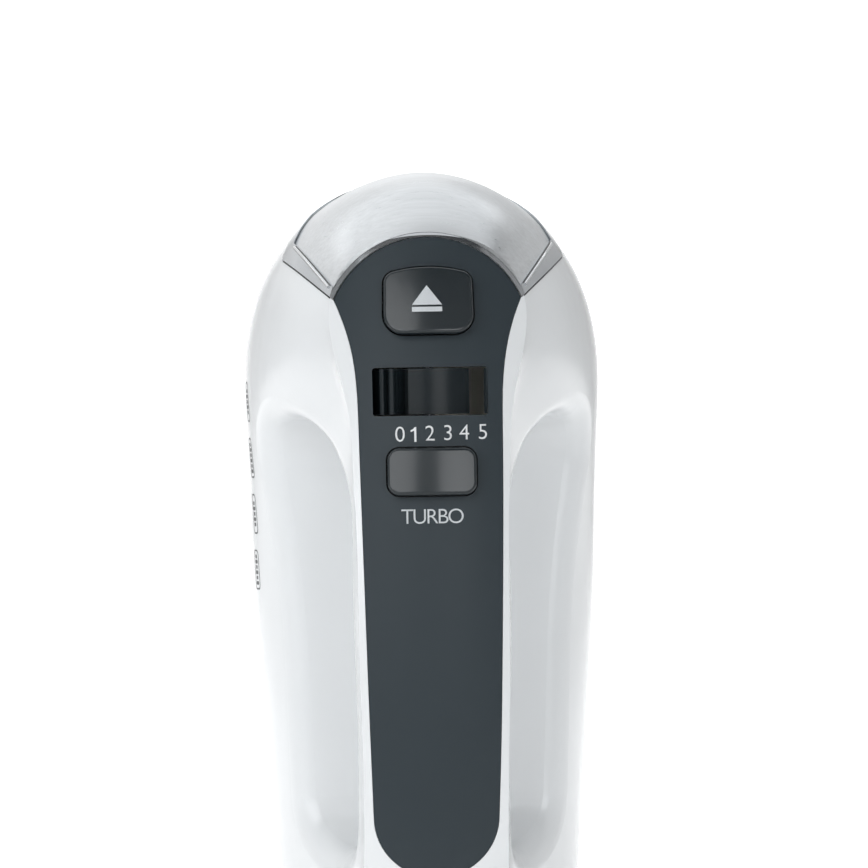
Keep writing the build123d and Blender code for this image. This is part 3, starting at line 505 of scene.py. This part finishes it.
def slot_cheek():
    """Sloped wall at the right end of the dial's slot."""
    edge = surface_point("control_panel", SLOT_RIGHT, SLOT_Z)
    top = (UNDERSIDE_Y - edge.y)/MM - CHEEK_SUNK
    form = bmesh.new()
    low_end, high_end = [
        [form.verts.new(place(x, top - depth, z)) for x, depth in CHEEK_SECTION]
        for z in (SLOT_Z - CHEEK_HALF_LENGTH, SLOT_Z + CHEEK_HALF_LENGTH)]
    form.faces.new(low_end)
    form.faces.new(reversed(high_end))
    for index in range(len(CHEEK_SECTION)):
        after = (index + 1) % len(CHEEK_SECTION)
        form.faces.new((low_end[index], high_end[index], high_end[after], low_end[after]))
    bmesh.ops.recalc_face_normals(form, faces=form.faces[:])
    bmesh.ops.bevel(form, geom=form.edges[:], offset=CHEEK_EDGE*MM, segments=2, affect="EDGES",
                    profile=0.5)
    mesh = bpy.data.meshes.new("slot_cheek")
    form.to_mesh(mesh)
    form.free()
    cheek = bpy.data.objects.new("slot_cheek", mesh)
    bpy.context.scene.collection.objects.link(cheek)
    mesh.materials.append(MATERIALS["grey_panel"])
    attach(cheek, "housing")


# ------------------------------------------------------------------ springs

def coil_spring(node):
    """Spring under a key, as a fixed copy of its node's mesh that keeps its seat on the casing."""
    coil = bpy.data.objects.new(f"{node}_coil", NODES[node].data.copy())
    bpy.context.scene.collection.objects.link(coil)
    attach(coil, "housing")
    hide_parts(node)
    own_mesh(coil)


# ------------------------------------------------------------------ studio

SWEEP_FLAT, SWEEP_RISE = 3.2, 1.6     # radii in metres of the flat floor and of its curved edge
SWEEP_STEPS, SWEEP_TURNS = 14, 72
WALL_TOP = 4.5
PAINT = 0.9
PAINT_ROUGHNESS = 0.8

# The wall glows behind the mixer. Each pair of values holds at the pair of places in metres.
BEHIND = ((0.0, 1.0), (-0.3, 0.4))          # share along Y
LANE = ((0.9, 0.0), (0.5, 1.3))             # a lane in line with the mixer, either way along X
LANE_FADE = ((1.0, 0.4), (0.8, 1.5))        # the lane's share up the wall
SIDES = ((0.08, 0.02), (-1.5, 1.5))         # the rest, along X
SIDES_LIFT = ((1.0, 6.0), (0.9, 1.7))       # and its share up the wall

# Name, place and size in metres, and power in watts.
SOFT_LIGHTS = (("key_left", (-0.9, -1.8, 0.9), (1.4, 1.6), 16),
               ("low_left", (-1.4, -1.2, 0.35), (0.8, 0.6), 1.5),
               ("fill_right", (0.6, -2.0, 0.3), (0.8, 1.5), 9.5),
               ("overhead", (-0.1, 0.5, 1.9), (3.2, 2.2), 18))
LIGHT_COLOUR = (0.965, 0.985, 1.0)
LIT_POINT = place(0, 80, 120)
WORLD_LEFT, WORLD_RIGHT = (1.0, 1.0, 1.0), (0.32, 0.34, 0.36)
WORLD_STRENGTH = 0.2


def maths(tree, operation, *factors):
    """Result of a maths node over other nodes' outputs."""
    node = add(tree, "ShaderNodeMath", operation=operation)
    for factor, socket in zip(factors, node.inputs):
        tree.links.new(factor, socket)
    return node.outputs[0]


def sweep_mesh():
    """Round flat floor with a wall that curves up from its edge."""
    form = bmesh.new()
    rings = []
    for step in range(SWEEP_STEPS + 1):
        angle = math.pi/2*step/SWEEP_STEPS
        rings.append((SWEEP_FLAT + SWEEP_RISE*math.sin(angle), SWEEP_RISE*(1 - math.cos(angle))))
    rings.append((SWEEP_FLAT + SWEEP_RISE, WALL_TOP))
    centre = form.verts.new((0, 0, 0))
    loops = []
    for radius, height in rings:
        loop = []
        for turn in range(SWEEP_TURNS):
            angle = 2*math.pi*turn/SWEEP_TURNS
            loop.append(form.verts.new((radius*math.cos(angle), radius*math.sin(angle), height)))
        loops.append(loop)
    for turn in range(SWEEP_TURNS):
        after = (turn + 1) % SWEEP_TURNS
        form.faces.new((centre, loops[0][turn], loops[0][after]))
        for inner, outer in zip(loops, loops[1:]):
            form.faces.new((inner[turn], outer[turn], outer[after], inner[after]))
    mesh = bpy.data.meshes.new("studio_sweep")
    form.to_mesh(mesh)
    form.free()
    for face in mesh.polygons:
        face.use_smooth = True
    return mesh


def sweep_paint():
    """White paint that glows behind the mixer, most of all in line with it."""
    material, tree, shader = new_material("studio_white")
    shader.inputs["Base Color"].default_value = (PAINT, PAINT, PAINT, 1)
    shader.inputs["Roughness"].default_value = PAINT_ROUGHNESS
    shader.inputs["Emission Color"].default_value = (1, 1, 1, 1)
    split = add(tree, "ShaderNodeSeparateXYZ")
    tree.links.new(object_coords(tree), split.inputs[0])
    x, y, z = split.outputs

    def run(factor, values, places):
        return spread(tree, factor, *values, *places)

    off_axis = maths(tree, "ABSOLUTE", x)
    lane = maths(tree, "MULTIPLY", run(off_axis, *LANE), run(z, *LANE_FADE))
    sides = maths(tree, "MULTIPLY", run(x, *SIDES), run(z, *SIDES_LIFT))
    glow = maths(tree, "MULTIPLY", maths(tree, "ADD", lane, sides), run(y, *BEHIND))
    tree.links.new(glow, shader.inputs["Emission Strength"])
    return material


def studio_sweep():
    """Pale floor that curves up far behind the mixer and round to the sides."""
    mesh = sweep_mesh()
    sweep = bpy.data.objects.new("studio_sweep", mesh)
    bpy.context.scene.collection.objects.link(sweep)
    mesh.materials.append(sweep_paint())


def soft_light(name, position, size, power):
    """Rectangular soft light aimed at the mixer."""
    data = bpy.data.lights.new(name, "AREA")
    data.shape = "RECTANGLE"
    data.size, data.size_y = size
    data.energy = power
    data.color = LIGHT_COLOUR
    light = bpy.data.objects.new(name, data)
    light.location = position
    aim = LIT_POINT - Vector(position)
    light.rotation_euler = aim.to_track_quat("-Z", "Y").to_euler()
    bpy.context.scene.collection.objects.link(light)


def lights():
    """Soft lights, and a dim surround that is darker on the right."""
    for entry in SOFT_LIGHTS:
        soft_light(*entry)
    world = bpy.data.worlds.new("studio")
    bpy.context.scene.world = world
    world.use_nodes = True
    tree = world.node_tree
    back = tree.nodes["Background"]
    coords = add(tree, "ShaderNodeTexCoord")
    split = add(tree, "ShaderNodeSeparateXYZ")
    tree.links.new(coords.outputs["Generated"], split.inputs[0])
    across = spread(tree, split.outputs["X"], 0, 1, -1, 1)
    side = ramp(tree, across, WORLD_LEFT, WORLD_RIGHT, 0.25, 0.75)
    tree.links.new(side, back.inputs["Color"])
    back.inputs["Strength"].default_value = WORLD_STRENGTH


# ------------------------------------------------------------------ camera

LENS_MM = 207.0
SENSOR_MM = 36
FAR_CLIP = 50
CAMERA_REACH = 1.2
CAMERA_YAW = 1.75
CAMERA_ROLL = -0.9
AIM = place(0.7, 125, 129.3)


def camera():
    """Camera level with the controls, a little to the left of the mixer and slightly rolled."""
    data = bpy.data.cameras.new("camera")
    data.lens = LENS_MM
    data.sensor_width = SENSOR_MM
    data.clip_end = FAR_CLIP
    eye = bpy.data.objects.new("camera", data)
    yaw = math.radians(CAMERA_YAW)
    eye.location = AIM + CAMERA_REACH*Vector((-math.sin(yaw), -math.cos(yaw), 0))
    facing = (AIM - eye.location).to_track_quat("-Z", "Y").to_matrix().to_4x4()
    turned = facing @ Matrix.Rotation(math.radians(CAMERA_ROLL), 4, "Z")
    eye.rotation_euler = turned.to_euler()
    bpy.context.scene.collection.objects.link(eye)
    bpy.context.scene.camera = eye


# ------------------------------------------------------------------ assembly

camera()
paint_nodes()
white_ink = print_ink("white_ink", (0.86, 0.87, 0.88))
silver_ink = print_ink("silver_ink", (0.66, 0.69, 0.71), 0.3)
dark_ink = print_ink("dark_ink", (0.02, 0.022, 0.024))
speed_figures(white_ink)
turbo_word(silver_ink)
eject_symbol(silver_ink)
side_marks(dark_ink)
nose_edge_lines()
slot_cheek()
coil_spring("eject_spring")
coil_spring("turbo_spring")
studio_sweep()
lights()
bpy.context.scene.view_settings.view_transform = "Standard"
